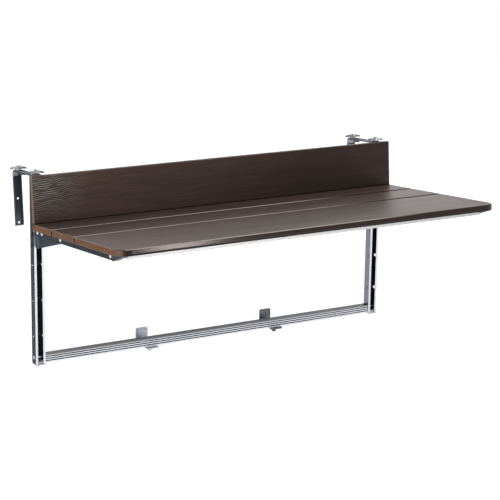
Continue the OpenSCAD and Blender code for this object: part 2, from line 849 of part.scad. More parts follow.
// Rest bracket: slotted strip under the rail, turned up behind it
module rest_bracket(side) {
    low = rest_under - play;
    color(GALV) leaned() translate([side * rest_x, 0, 0]) {
        translate([0, 0, low]) linear_extrude(rest_t) difference() {
            union() {
                strip_outline(rest_bolt_y - rest_travel - bolt_r - 5, rest_bolt_y + 12, rest_w, 4);
                translate([-rest_w / 2, rest_bolt_y]) square([rest_w, rest_reach - rest_bend]);
            }
            slot_outline(rest_bolt_y - rest_travel, rest_bolt_y + rest_travel, bolt_r + play);
        }
        translate([-rest_w / 2, rest_back - rest_bend, low + rest_bend]) yz_extrude(rest_w) intersection() {
            difference() {
                circle(rest_bend);
                circle(rest_bend - rest_t);
            }
            translate([0, -rest_bend]) square(rest_bend);
        }
        translate([0, rest_back, low]) rotate([90, 0, 0]) linear_extrude(rest_t) tab_outline();
    }
}

// Upright end of the rest bracket, with round top corners
module tab_outline() {
    r = tab_corner_r;
    translate([-rest_w / 2, rest_bend]) square([rest_w, rest_h - rest_bend - r]);
    translate([-rest_w / 2 + r, rest_bend]) square([rest_w - 2 * r, rest_h - rest_bend]);
    both_sides(rest_w / 2 - r) translate([0, rest_h - r]) circle(r);
}

rest_bend = 5;
tab_corner_r = 3;
pad_z = rest_under + rest_h * 0.58;

module left_rest_bracket() { rest_bracket(-1); }
module right_rest_bracket() { rest_bracket(1); }

// Rubber pad glued to the bracket, where it bears on the railing
module rest_pad(side) {
    color(RUBBER) leaned() translate([side * rest_x, rest_back, pad_z]) rotate([-90, 0, 0])
        linear_extrude(pad_t) strip_outline(-rest_h * 0.3, rest_h * 0.3, rest_w - 4, 4);
}

module left_rest_pad() { rest_pad(-1); }
module right_rest_pad() { rest_pad(1); }

module rest_nut(side) {
    color(ZINC) leaned() translate([side * rest_x, rest_bolt_y, rest_under - 2 * play - washer_t - hex_h]) hex_nut();
}

module left_rest_nut() { rest_nut(-1); }
module right_rest_nut() { rest_nut(1); }

front_slat();
middle_slat();
rear_slat();
backboard();
backboard_screws();
left_arm();
right_arm();
left_gusset();
right_gusset();
left_nose();
right_nose();
arm_rivets();
slat_screws();
cross_bar();
cross_bar_screws();
left_post();
right_post();
left_seat_block();
right_seat_block();
left_foot();
right_foot();
bottom_rail();
rail_screws();
pivot_bolts();
pivot_nuts();
pivot_bushings();
lock_bolts();
lock_nuts();
seat_bolts();
left_seat_nut();
right_seat_nut();
left_hook_arm();
right_hook_arm();
left_hook_leg();
right_hook_leg();
left_hook_bolt();
right_hook_bolt();
left_hook_nut();
right_hook_nut();
left_rest_bolt();
right_rest_bolt();
left_rest_bracket();
right_rest_bracket();
left_rest_pad();
right_rest_pad();
left_rest_nut();
right_rest_nut();
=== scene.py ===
# %% [markdown]
# # A folding balcony table
# A dark slatted tabletop hangs on a railing. Under it are two folded steel arms, behind it two
# aluminium posts with a rail between their feet, and over the railing go two hooks. The solid parts
# come from the CAD model. This notebook gives each of them its finish, adds small shapes that catch the
# light, and sets up the studio.

# %% Load the solid parts
import math
import bpy
from mathutils import Matrix, Vector


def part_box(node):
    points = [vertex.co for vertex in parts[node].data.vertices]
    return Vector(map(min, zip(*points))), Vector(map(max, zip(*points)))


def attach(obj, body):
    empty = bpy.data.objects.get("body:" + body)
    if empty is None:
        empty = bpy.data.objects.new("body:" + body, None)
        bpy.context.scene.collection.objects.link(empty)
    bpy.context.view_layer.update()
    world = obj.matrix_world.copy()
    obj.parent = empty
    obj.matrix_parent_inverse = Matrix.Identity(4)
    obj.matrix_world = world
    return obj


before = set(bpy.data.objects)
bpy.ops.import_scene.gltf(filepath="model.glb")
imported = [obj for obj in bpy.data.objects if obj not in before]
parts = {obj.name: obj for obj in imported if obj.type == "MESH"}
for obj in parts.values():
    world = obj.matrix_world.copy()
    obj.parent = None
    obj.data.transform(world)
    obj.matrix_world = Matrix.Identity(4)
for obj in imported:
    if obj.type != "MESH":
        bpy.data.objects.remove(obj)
scene = bpy.context.scene
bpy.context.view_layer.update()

# %% [markdown]
# ## The camera
# The picture looks down on the table from its front left, from some way off, so that the long edges
# stay nearly parallel. A camera can be aimed with a constraint, but then it can't roll. Here its three
# axes are written as a matrix: one points back from the table, one to the right of the picture and one
# up it.

# %% Place the camera
turn, climb, roll = math.radians(-29.90), math.radians(10.01), math.radians(-1.68)
camera_place = (-1.63667, -2.98320, 0.41384)
ahead = math.cos(climb)
back = Vector((math.sin(turn) * ahead, -math.cos(turn) * ahead, math.sin(climb)))
level_right = Vector((math.cos(turn), math.sin(turn), 0))
level_up = back.cross(level_right)
right = level_right * math.cos(roll) + level_up * math.sin(roll)
up = level_up * math.cos(roll) - level_right * math.sin(roll)

lens = bpy.data.cameras.new("camera")
lens.lens = 124.84
lens.sensor_width = 36
camera = bpy.data.objects.new("camera", lens)
axes = Matrix((right, up, back)).transposed().to_4x4()
camera.matrix_world = Matrix.Translation(camera_place) @ axes
scene.collection.objects.link(camera)
scene.camera = camera
print("camera at", tuple(round(v, 3) for v in camera.location), "lens", round(lens.lens, 1), "mm")

# %% [markdown]
# ## Writing node trees with little typing
# Every finish here is a small tree of shader nodes. Adding nodes one by one takes many lines, so a
# helper makes a node, sets its options, and either links or fills in each input, depending on what it
# is given.

# %% Helpers that add nodes
def add(tree, kind, inputs=None, **options):
    """A new node, with its options set and its inputs linked or filled in."""
    made = tree.nodes.new(kind)
    for name, value in options.items():
        setattr(made, name, value)
    for key, value in (inputs or {}).items():
        if isinstance(value, bpy.types.Node):
            value = value.outputs[0]
        if isinstance(value, bpy.types.NodeSocket):
            tree.links.new(value, made.inputs[key])
        else:
            made.inputs[key].default_value = value
    return made


def new_finish(name):
    """A new material with its tree, its shader and the coordinates of the object that wears it."""
    finish = bpy.data.materials.new(name)
    finish.use_nodes = True
    tree = finish.node_tree
    return finish, tree, tree.nodes["Principled BSDF"], add(tree, "ShaderNodeTexCoord")

# %% [markdown]
# ## Numbers and masks
# A mask is a number from 0 to 1 that says where something happens. Masks come from places and
# directions, are stretched from one range to another, and are multiplied where two things must hold
# together.

# %% Helpers for numbers and masks
def count(tree, how, *values):
    """Arithmetic on numbers, each from a node or plain."""
    return add(tree, "ShaderNodeMath", dict(enumerate(values)), operation=how).outputs[0]


def times(tree, *factors):
    """The product of some numbers."""
    product = factors[0]
    for factor in factors[1:]:
        product = count(tree, "MULTIPLY", product, factor)
    return product


def spread(tree, value, low, high, to_low=0.0, to_high=1.0):
    """A value taken from one range to another, and held inside it."""
    ranges = {"From Min": low, "From Max": high, "To Min": to_low, "To Max": to_high}
    return add(tree, "ShaderNodeMapRange", {"Value": value, **ranges}).outputs[0]


def opposite(tree, mask, full=1.0):
    """High where a mask is low: it falls from full to 0."""
    return spread(tree, mask, 0, 1, full, 0.0)


def facing(tree, here, axis):
    """How much a face looks along an axis of the object, from 0 to 1, whichever way along it."""
    split = add(tree, "ShaderNodeSeparateXYZ", {0: here.outputs["Normal"]})
    return count(tree, "ABSOLUTE", split.outputs[axis])

# %% [markdown]
# ## Colours, grain and edges
# Two colours mixed by a mask are the brush of this notebook. Noise that is stretched along one
# direction gives sawn wood and drawn metal their lines. No real edge is perfectly sharp, so a Bevel
# node bends the normal there, and where the bent normal leaves the face's own there is a mask for wear.

# %% Helpers for colours, grain and edges
def blend(tree, share, first, second):
    """Two colours mixed by a share from 0 to 1."""
    made = add(tree, "ShaderNodeMix", {0: share}, data_type="RGBA")
    for socket, colour in ((6, first), (7, second)):
        if isinstance(colour, bpy.types.NodeSocket):
            tree.links.new(colour, made.inputs[socket])
        else:
            made.inputs[socket].default_value = (*colour, 1)
    return made.outputs[2]


def scaled(colour, factor):
    """A plain colour made darker or lighter."""
    return tuple(min(1, factor * c) for c in colour)


def grain(tree, at, stretch, scale, detail=4.0, rough=0.6, shift=(0, 0, 0), turned=(0, 0, 0), warp=0.0):
    """Noise that is stretched along one direction."""
    place = {"Vector": at, "Location": shift, "Rotation": turned, "Scale": stretch}
    stretched = add(tree, "ShaderNodeMapping", place)
    noise = {"Vector": stretched, "Scale": scale, "Detail": detail, "Roughness": rough, "Distortion": warp}
    return add(tree, "ShaderNodeTexNoise", noise).outputs[0]


def round_edges(tree, radius):
    """A normal that rounds every edge by a small radius."""
    return add(tree, "ShaderNodeBevel", {"Radius": radius}, samples=4).outputs[0]


def on_edges(tree, rounded):
    """A mask that is 1 on the rounded edges."""
    flat = add(tree, "ShaderNodeNewGeometry").outputs["True Normal"]
    agree = add(tree, "ShaderNodeVectorMath", {0: rounded, 1: flat}, operation="DOT_PRODUCT")
    return spread(tree, agree.outputs["Value"], 0.995, 0.9)


def emboss(tree, shader, height, strength, depth, rounded):
    """Fine relief on top of the rounded edges."""
    relief = {"Strength": strength, "Distance": depth, "Height": height, "Normal": rounded}
    tree.links.new(add(tree, "ShaderNodeBump", relief).outputs[0], shader.inputs["Normal"])

# %% [markdown]
# ## The floor and the studio
# The table hangs in the air, so the floor is well below it and its shadow falls out of the picture. In
# a photograph for a catalogue the background is pure white. More light would bleach the table too.
# Instead the floor and the world add a little glow that only the camera and mirror-like surfaces see,
# and lamps light the table at a plain level.

# %% Make the floor and the world
def seen_directly(tree):
    """1 for rays from the camera and for those that a shiny or clear surface sends on."""
    path = add(tree, "ShaderNodeLightPath").outputs
    both = count(tree, "MAXIMUM", path["Is Camera Ray"], path["Is Glossy Ray"])
    return count(tree, "MAXIMUM", both, path["Is Transmission Ray"])


def plain_finish(name, colour, rough):
    """A finish with one colour, for the studio alone."""
    finish, tree, shader, here = new_finish(name)
    shader.inputs["Base Color"].default_value = (*colour, 1)
    shader.inputs["Roughness"].default_value = rough
    return finish, tree, shader


def stage_sheet(name, corners, finish):
    """One flat face of the studio, which isn't part of the table."""
    mesh = bpy.data.meshes.new(name)
    mesh.from_pydata(corners, [], [(0, 1, 2, 3)])
    mesh.materials.append(finish)
    sheet = bpy.data.objects.new(name, mesh)
    scene.collection.objects.link(sheet)
    return sheet


floor_low, floor_half, floor_glow = -2.6, 30, 0.62
paper, tree, shader = plain_finish("floor_paper", (0.82, 0.82, 0.81), 0.9)
shader.inputs["Emission Color"].default_value = (1, 1, 1, 1)
tree.links.new(times(tree, seen_directly(tree), floor_glow), shader.inputs["Emission Strength"])
signs = ((-1, -1), (1, -1), (1, 1), (-1, 1))
stage_sheet("floor", [(x * floor_half, y * floor_half, floor_low) for x, y in signs], paper)

world = bpy.data.worlds.new("studio")
world.use_nodes = True
scene.world = world
tree = world.node_tree
light = tree.nodes["Background"]
light.inputs["Color"].default_value = (1, 1, 1, 1)
tree.links.new(spread(tree, seen_directly(tree), 0, 1, 0.6, 1.0), light.inputs["Strength"])
scene.view_settings.view_transform = "Standard"
print("floor at", floor_low, "m")

# %% [markdown]
# ## Lamps
# Five area lamps do the work of softboxes. The key hangs high on the right, just where the small
# chamfers between the slats mirror it, so that the seams get light lines towards the left. A weaker one
# fills in from the left, a tall narrow one stands at the front right, where the left end of the
# varnished front edge mirrors it, and two rim lights behind the table lay a soft sheen on both ends of
# the top.

# %% Hang the lamps
def softbox(name, where, aim, size, watts, colour=(1, 1, 1)):
    """A flat lamp at one place that looks at another."""
    lamp = bpy.data.lights.new(name, "AREA")
    lamp.color = colour
    lamp.shape = "RECTANGLE"
    lamp.size, lamp.size_y = size
    lamp.energy = watts
    box = bpy.data.objects.new(name, lamp)
    box.visible_camera = False
    turned = (Vector(where) - Vector(aim)).to_track_quat("Z", "Y").to_matrix().to_4x4()
    box.matrix_world = Matrix.Translation(where) @ turned
    scene.collection.objects.link(box)
    print(name, watts, "W")


softbox("key_softbox", (1.55, -0.85, 2.5), (0, -0.2, -0.1), (1.3, 1.3), 27)
softbox("fill_softbox", (-2.4, -2.2, 2.0), (0, -0.2, -0.2), (1.8, 1.8), 16)
softbox("front_strip", (1.54, -3.9, -0.45), (0, -0.4, -0.2), (0.22, 1.1), 17)
softbox("left_rim", (0.25, 2.3, 1.15), (-0.35, -0.3, -0.1), (0.40, 0.5), 9.0, (1.0, 0.86, 0.84))
softbox("right_rim", (1.95, 2.3, 0.55), (0.3, -0.2, -0.1), (0.8, 0.4), 2.0, (1.0, 0.95, 0.93))

# %% [markdown]
# ## A dark card
# A photographer puts dark cards beside shiny metal, because a bright room leaves it without shape. This
# one stands behind the left end. Only shiny surfaces see it, so it takes no light from the table, but
# the outer side of the left post mirrors it and turns dark.

# %% Stand up the card
card_y, card_left, card_right, card_low, card_high = 0.9, -2.1, -0.63, -1.2, 0.20
card_corners = [(card_left, card_y, card_low), (card_right, card_y, card_low),
                (card_right, card_y, card_high), (card_left, card_y, card_high)]
felt, tree, shader = plain_finish("dark_felt", (0.03, 0.033, 0.04), 0.9)
card = stage_sheet("dark_card", card_corners, felt)
card.visible_camera = card.visible_diffuse = card.visible_shadow = card.visible_transmission = False
print("card from x", card_left, "to", card_right)

# %% [markdown]
# ## The masks of a board
# The boards are dark stained wood under a thin satin varnish. A photograph of wood could be wrapped
# round them, but it would not follow the board into its ends. Here stretched noise gives the streaks
# and the fibres, and the direction that a face looks in picks the sawn ends. These masks are made once
# for each board, and the steps that follow lay one colour after another over its tone.

# %% Gather the masks
class Board:
    """One board's finish while it is made: its masks, and its tone, roughness and relief so far."""

    def __init__(self, node, shift):
        self.node, self.shift = node, shift
        self.finish, self.tree, self.shader, here = new_finish(node + "_wood")
        self.low, self.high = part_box(node)
        self.at = here.outputs["Object"]
        self.x, self.y, self.z = add(self.tree, "ShaderNodeSeparateXYZ", {0: self.at}).outputs
        self.streak = grain(self.tree, self.at, (1.5, 24, 24), 2.0, 6, 0.62, shift, warp=0.35)
        self.fibre = grain(self.tree, self.at, (4, 190, 190), 2.2, 3, 0.7, shift)
        self.sideways, self.forward = facing(self.tree, here, "X"), facing(self.tree, here, "Y")
        self.upward = add(self.tree, "ShaderNodeSeparateXYZ", {0: here.outputs["Normal"]}).outputs["Z"]
        self.sawn = spread(self.tree, self.sideways, 0.80, 0.95)
        # 1 on the left part of the table and 0 on the right: it sets where painted highlights and painted
        # shade go.
        self.to_right = spread(self.tree, self.x, 0.12, 0.24, 1.0, 0.0)
        self.rounded = round_edges(self.tree, 0.0010)
        self.relief = 0.55

    def cover(self, share, colour):
        """Lay a colour over the tone so far."""
        self.tone = blend(self.tree, share, self.tone, colour)

# %% [markdown]
# ## Stain, and bare wood at the ends
# The stain is darker in the pores. A board is cut to length after it is stained, so its ends are bare
# and lighter, with rings and dark spots. On the round front corners the stain is thin. Along sharp edges
# on the left part of the table the colour is lighter, partly rubbed wear and partly a painted highlight.

# %% Stain a board
bare_spot, thin_corner, rubbed_and_lit_edge = (0.060, 0.030, 0.018), (0.260, 0.190, 0.140), (0.160, 0.118, 0.098)


def stain_board(board, stain, bare_tones):
    """Stain with streaks and pores, and bare wood where the board was cut."""
    tree = board.tree
    dark = blend(tree, spread(tree, board.streak, 0.36, 0.66), *stain)
    dark = blend(tree, spread(tree, board.fibre, 0.35, 0.75, 0.0, 0.5), dark, scaled(stain[0], 0.50))
    thinned = spread(tree, board.fibre, 0.3, 0.6, 0.55, 0.95)
    dark = blend(tree, times(tree, spread(tree, board.sideways, 0.50, 0.72), thinned), dark, thin_corner)
    rings = grain(tree, board.at, (20, 60, 190), 1.4, 3, 0.55, board.shift, warp=1.5)
    spots = grain(tree, board.at, (200, 260, 260), 3.0, 2, 0.6, board.shift)
    bare = blend(tree, spread(tree, rings, 0.35, 0.65), *bare_tones)
    bare = blend(tree, spread(tree, spots, 0.55, 0.72, 0.0, 0.7), bare, bare_spot)
    board.tone = blend(tree, board.sawn, dark, bare)
    patchy = spread(tree, board.streak, 0.3, 0.6, 0.15, 0.7)
    # Edges on the left are lighter: partly rubbed wear, partly a painted highlight.
    board.cover(times(tree, on_edges(tree, board.rounded), patchy, board.to_right), rubbed_and_lit_edge)
    satin = spread(tree, board.fibre, 0.3, 0.8, 0.37, 0.53)
    board.rough = count(tree, "MULTIPLY_ADD", board.sawn, 0.32, satin)
    board.height = times(tree, board.fibre, 0.22)

# %% [markdown]
# ## Seams between the slats
# A narrow chamfer on each slat catches the key light on the left of the table and lies in shadow on the
# right, and its colour adds a painted highlight on the left and a painted shadow on the right. Seen from
# the end, each slat has a painted highlight along its front edge and painted shade along its rear one.
# The gaps are real, but only three millimetres wide, so their light and shade are helped by these
# painted masks near the slats' long edges. On the right part of the top, a strip along each seam is
# painted dark as shade, and the lower chamfers carry a painted shadow.

# %% Mark the seams
gap_highlight, gap_shade, seam_shadow = (0.58, 0.50, 0.43), (0.020, 0.010, 0.007), (0.0030, 0.0022, 0.0020)
seam_light, under_shadow = (0.440, 0.370, 0.340), (0.006, 0.0045, 0.004)
pale_strip, dark_strip, shade_strip = 0.0012, 0.0032, 0.0032
chamfer_slant, slant_range = 0.707, 0.09


def mark_seams(board, open_front=False):
    """Painted light and shade along a slat's long edges; the front slat's front edge is open."""
    tree = board.tree
    half = (board.high[1] - board.low[1]) / 2
    middle = board.low[1] + half
    behind = spread(tree, board.y, middle - 0.001, middle + 0.001)
    inside = count(tree, "COMPARE", board.y, middle + (pale_strip - dark_strip) / 2,
                   half - (pale_strip + dark_strip) / 2)
    # The sawn ends by each seam: a painted highlight on the front half, painted shade on the rear half.
    at_gap = times(tree, board.sawn, opposite(tree, inside, 0.88))
    board.cover(at_gap, blend(tree, behind, gap_highlight, gap_shade))
    chamfer = count(tree, "COMPARE", board.forward, chamfer_slant, slant_range)
    above = times(tree, chamfer, spread(tree, board.upward, 0.2, 0.5))
    # Upper chamfers: a painted highlight on the left, a painted shadow on the right.
    line = blend(tree, board.to_right, seam_shadow, seam_light)
    board.cover(times(tree, above, spread(tree, board.streak, 0.3, 0.6, 0.65, 0.95)), line)
    # A strip along each seam, on the right part of the top, is painted dark as shade.
    off_seam = count(tree, "COMPARE", board.y, middle, half - shade_strip)
    shade = times(tree, opposite(tree, off_seam), spread(tree, board.upward, 0.8, 0.95))
    if open_front:
        shade = times(tree, shade, behind)
    shade = times(tree, shade, opposite(tree, board.to_right, 0.9))
    board.cover(shade, seam_shadow)
    # The lower chamfers carry a painted shadow.
    board.cover(times(tree, chamfer, spread(tree, board.upward, -0.2, -0.5, 0.0, 0.9)), under_shadow)
    board.rough = count(tree, "ADD", board.rough, times(tree, above, opposite(tree, board.to_right, 0.5)))
    board.rough = count(tree, "MULTIPLY_ADD", shade, 0.6, board.rough)

# %% [markdown]
# ## The polished front edge
# The front edge of the table is smooth and glossy, so that it mirrors the tall lamp in one long
# highlight. Its lower few millimetres, where the edge rolls over, turn dull and carry a painted shadow.

# %% Polish the front edge
front_stain, front_shadow = (0.0135, 0.0042, 0.0024), (0.0040, 0.0030, 0.0028)


def polish_front(board):
    """A smooth, dark front edge with a dull lower lip under a painted shadow."""
    tree = board.tree
    front = spread(tree, board.forward, 0.8, 0.95)
    low_front = times(tree, front, spread(tree, board.z, board.low[2] + 0.0048, board.low[2] + 0.0018))
    board.cover(times(tree, front, 0.9), front_stain)
    # The lower lip gets a painted shadow.
    board.cover(times(tree, low_front, 0.8), front_shadow)
    board.rough = times(tree, board.rough, spread(tree, front, 0, 1, 1.0, 0.24))
    board.rough = count(tree, "MULTIPLY_ADD", low_front, 0.5, board.rough)
    board.relief = spread(tree, board.forward, 0.6, 0.95, 0.55, 0.05)

# %% [markdown]
# ## Shade in the corner
# No light gets into the joint between the rear slat and the backboard. A thin dark line on each of the
# two boards says so, and the rear half of the backboard's ends is darker.

# %% Shade the joint
joint_shadow, dark_end_half = (0.005, 0.003, 0.002), (0.040, 0.022, 0.016)


def shade_under_backboard(board):
    """A dark line on the rear slat, along the foot of the backboard."""
    joint_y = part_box("backboard")[0][1]
    joint = spread(board.tree, board.y, joint_y - 0.0022, joint_y - 0.0014, 0.0, 0.75)
    board.cover(times(board.tree, joint, opposite(board.tree, board.sawn)), joint_shadow)


def shade_backboard_foot(board):
    """A dark line along the backboard's foot, and dark rear halves of its ends."""
    foot = board.low[2]
    past_middle = spread(board.tree, board.y, board.low[1] + 0.004, board.high[1] - 0.002)
    board.cover(times(board.tree, board.sawn, past_middle), dark_end_half)
    board.cover(spread(board.tree, board.z, foot + 0.0022, foot + 0.0012, 0.0, 0.8), joint_shadow)

# %% [markdown]
# ## Carved grain
# The left end of the backboard shows a raised, wavy grain, as if brushed out of soft wood. A wave
# texture with some distortion draws such lines, and a noise breaks them up. Where the tall lamp grazes
# that end, its ground is painted greyer as a sheen and its crests carry a painted highlight. Further to
# the right the relief is faint and the board is painted darker, as the light falls off.

# %% Carve the backboard
painted_sheen_ground, crest_highlight = (0.072, 0.066, 0.060), (0.320, 0.312, 0.290)


def carve(board):
    """Wavy grain with a painted sheen and crest highlights at the left end, painted darker to the right."""
    tree, left_end, foot = board.tree, board.low[0], board.low[2]
    # The board is painted lighter at its left end and darker to the right, a painted fall of the light.
    painted_falloff = spread(tree, board.x, left_end + 0.10, left_end + 0.60, 1.50, 0.46)
    darkened = add(tree, "ShaderNodeVectorMath", {0: board.tone, "Scale": painted_falloff}, operation="SCALE")
    board.tone = darkened.outputs[0]
    tilted = add(tree, "ShaderNodeMapping", {
        "Vector": board.at, "Location": board.shift, "Rotation": (0, 0.13, 0), "Scale": (0.9, 1.0, 1.0)})
    waves = add(tree, "ShaderNodeTexWave", {
        "Vector": tilted, "Scale": 82.0, "Distortion": 8.0, "Detail": 2.4, "Detail Scale": 0.34,
        "Detail Roughness": 0.6}, bands_direction="Z")
    wavy = waves.outputs["Fac"]
    broken = grain(tree, board.at, (12, 60, 60), 3.0, 3, 0.6, board.shift)
    near_end = times(tree, spread(tree, board.x, left_end + 0.115, left_end + 0.035),
                     spread(tree, board.z, foot + 0.003, foot + 0.053),
                     spread(tree, board.forward, 0.6, 0.9))
    # Near the left end: a painted sheen on the ground and a painted highlight on the crests.
    board.cover(times(tree, near_end, spread(tree, broken, 0.35, 0.65, 0.35, 0.75)), painted_sheen_ground)
    broken_crest = spread(tree, broken, 0.38, 0.55, 0.10, 0.95)
    board.cover(times(tree, spread(tree, wavy, 0.62, 0.90), near_end, broken_crest), crest_highlight)
    furrow = times(tree, spread(tree, wavy, 0.15, 0.85), spread(tree, near_end, 0, 1, 0.10, 0.9))
    board.height = count(tree, "ADD", board.height, furrow)

# %% [markdown]
# ## Varnish
# The last step links tone, roughness and relief to the shader. The varnish is thin and a little warm,
# so its reflection is tinted and weaker than that of a thick clear coat.

# %% Varnish the four boards
def varnish(board, sheen):
    """Link what the steps have made to the shader, under a tinted sheen."""
    tree, shader = board.tree, board.shader
    tree.links.new(board.tone, shader.inputs["Base Color"])
    tree.links.new(board.rough, shader.inputs["Roughness"])
    emboss(tree, shader, board.height, board.relief, 0.0006, board.rounded)
    shader.inputs["IOR"].default_value = 1.36
    shader.inputs["Specular Tint"].default_value = (*sheen, 1)
    return board.finish


oak_end = ((0.200, 0.096, 0.050), (0.330, 0.175, 0.095))
grey_end = ((0.190, 0.110, 0.078), (0.330, 0.220, 0.165))
slat_sheen, front_sheen, board_sheen = (0.84, 0.68, 0.62), (0.90, 0.79, 0.755), (0.82, 0.57, 0.49)

front = Board("front_slat", (0.13, 0.02, 0.05))
stain_board(front, ((0.0407, 0.0238, 0.0195), (0.0711, 0.0415, 0.0340)), oak_end)
mark_seams(front, open_front=True)
polish_front(front)

# The middle slat's tone is a little lighter than the others': painted light, as it mirrors the dark
# backboard.
middle = Board("middle_slat", (0.71, 0.37, 0.11))
stain_board(middle, ((0.0459, 0.0289, 0.0244), (0.0802, 0.0506, 0.0427)), oak_end)
mark_seams(middle)

rear = Board("rear_slat", (0.42, 0.83, 0.27))
stain_board(rear, ((0.0421, 0.0278, 0.0238), (0.0736, 0.0486, 0.0416)), oak_end)
mark_seams(rear)
shade_under_backboard(rear)

upright_board = Board("backboard", (0.05, 0.19, 0.63))
stain_board(upright_board, ((0.0402, 0.0257, 0.0215), (0.0643, 0.0412, 0.0344)), grey_end)
shade_backboard_foot(upright_board)
carve(upright_board)

board_sheens = ((front, front_sheen), (middle, slat_sheen), (rear, slat_sheen),
                (upright_board, board_sheen))
boards = {board.node: varnish(board, sheen) for board, sheen in board_sheens}
print("board finishes:", len(boards))

# %% [markdown]
# ## Painted steel
# The arms, the gussets and the hooks are folded sheet with a satin blue-grey coat. Sprayed paint has a
# skin like an orange's, pulls away from sharp edges so that they are a little lighter, and is never
# quite the same all over. The hook legs lose their coat where they are bent over the railing.

# %% Make the paint
bare_steel = (0.42, 0.42, 0.48)


def paint(name, colour, worn, rough=0.38, bare_above=None):
    """A satin coat with worn edges, and bare steel above a height where one is given."""
    finish, tree, shader, here = new_finish(name)
    at = here.outputs["Object"]
    cloud = grain(tree, at, (1, 1, 1), 14.0, 4, 0.6)
    speck = grain(tree, at, (1, 1, 1), 900.0, 2, 0.6)
    rounded = round_edges(tree, 0.0005)
    coat = blend(tree, spread(tree, cloud, 0.3, 0.7), scaled(colour, 0.82), colour)
    chipped = spread(tree, speck, 0.35, 0.6, 0.25, 0.8)
    coat = blend(tree, times(tree, on_edges(tree, rounded), chipped), coat, worn)
    if bare_above is not None:
        high = add(tree, "ShaderNodeSeparateXYZ", {0: at}).outputs["Z"]
        near_top = spread(tree, high, bare_above - 0.003, bare_above)
        rubbed = spread(tree, facing(tree, here, "X"), 0.3, 0.9, 0.35, 0.95)
        coat = blend(tree, times(tree, near_top, rubbed), coat, bare_steel)
    tree.links.new(coat, shader.inputs["Base Color"])
    tree.links.new(spread(tree, cloud, 0.3, 0.7, rough - 0.05, rough + 0.07), shader.inputs["Roughness"])
    emboss(tree, shader, speck, 0.12, 0.0002, rounded)
    shader.inputs["Metallic"].default_value = 0.35
    return finish


hook_coat, hook_wear = (0.055, 0.066, 0.086), (0.17, 0.19, 0.22)
arm_paint = paint("arm_paint", (0.080, 0.104, 0.140), (0.22, 0.26, 0.31))
# A near black paint for the arms' beads: a painted shadow line under them.
shadow_line_paint = paint("shadow_line_paint", (0.022, 0.028, 0.040), (0.045, 0.055, 0.070))
hook_paint = paint("hook_paint", hook_coat, hook_wear)
leg_paint = paint("leg_paint", hook_coat, hook_wear, bare_above=-0.007)
print("paints:", arm_paint.name, shadow_line_paint.name, hook_paint.name, leg_paint.name)

# %% [markdown]
# ## Places in the leaning frame
# The posts and the rail lean by five degrees, but their meshes are in the table's frame. A Mapping node
# turns a place back, so that a mask can be written as if the frame stood upright. The inside of the
# posts is painted near black and made dull, as painted shade where no light gets in. A mask in the
# post's own place keeps that painted shade to its inner faces, and another one finds the grooves along
# the front of the rail, which get the same painted shade.

# %% Masks for the posts and the rail
lean = math.radians(5)
post_stand, post_depth_mid = 0.381, -0.009
hollow_half_width, hollow_half_depth = 0.00865, 0.0078
groove_mid, groove_half = (-0.0161, -0.3555), (0.0007, 0.0072)


def upright(tree, at):
    """The place along the leaning frame's own directions."""
    turned_back = add(tree, "ShaderNodeMapping", {"Vector": at, "Rotation": (-lean, 0, 0)})
    return add(tree, "ShaderNodeSeparateXYZ", {0: turned_back}).outputs


def post_hollow(post_middle):
    """A mask for the inner faces of the post that stands at x = post_middle."""
    def mask(tree, at):
        place = upright(tree, at)
        across = count(tree, "COMPARE", place["X"], post_middle, hollow_half_width)
        deep = count(tree, "COMPARE", place["Y"], post_depth_mid, hollow_half_depth)
        return times(tree, across, deep)
    return mask


def rail_grooves(tree, at):
    """A mask for the three grooves along the front of the bottom rail."""
    place = upright(tree, at)
    deep, high = (count(tree, "COMPARE", place[axis], middle, half)
                  for axis, middle, half in zip("YZ", groove_mid, groove_half))
    return times(tree, deep, high)

# %% [markdown]
# ## Drawn aluminium
# A profile is pressed through a die, which leaves fine straight lines along it, and is then anodised.
# The lines run along each profile, so the posts' lines lean with them. The rail's top is painted darker
# than its ribs, as a dim painted reflection, and its sheen is duller. The outer faces of the posts are
# painted darker than their polished lips, the right post more than the left, as painted shade.

# %% Make the aluminium
painted_hollow_shade, dull_sheen = (0.010, 0.013, 0.021), (0.42, 0.43, 0.45)


def drawn_metal(name, stretch, colour, rough=0.3, turned=(0, 0, 0), hollow_mask=None, shaded_top=None, sides=None):
    """Aluminium with lines along it, and where given, painted shade in hollows, on a top and on sides."""
    finish, tree, shader, here = new_finish(name)
    at = here.outputs["Object"]
    lines = grain(tree, at, stretch, 3.0, 5, 0.65, turned=turned)
    cloud = grain(tree, at, (1, 1, 1), 9.0, 3, 0.5)
    rounded = round_edges(tree, 0.0004)
    tone = blend(tree, spread(tree, lines, 0.35, 0.65), scaled(colour, 0.80), colour)
    tone = blend(tree, on_edges(tree, rounded), tone, scaled(colour, 1.25))
    # Faces that look along x are painted darker where side colours are given: painted shade.
    if sides:
        tone = blend(tree, spread(tree, facing(tree, here, "X"), 0.85, 0.97), tone, sides)
    # The rail's top is painted darker, as a dim painted reflection, with a duller sheen.
    if shaded_top:
        shaded_top_tone, level = shaded_top
        tone = blend(tree, spread(tree, upright(tree, at)["Z"], level - 0.0006, level), tone, shaded_top_tone)
        shader.inputs["Specular Tint"].default_value = (*dull_sheen, 1)
    shader.inputs["Metallic"].default_value = 1.0
    # Inner faces and grooves get a painted near black shade and lose their metal sheen.
    if hollow_mask:
        inner = hollow_mask(tree, at)
        tone = blend(tree, inner, tone, painted_hollow_shade)
        tree.links.new(count(tree, "SUBTRACT", 1.0, inner), shader.inputs["Metallic"])
    tree.links.new(tone, shader.inputs["Base Color"])
    tree.links.new(spread(tree, lines, 0.3, 0.7, rough - 0.06, rough + 0.10), shader.inputs["Roughness"])
    emboss(tree, shader, count(tree, "MULTIPLY_ADD", cloud, 0.3, lines), 0.15, 0.0002, rounded)
    return finish


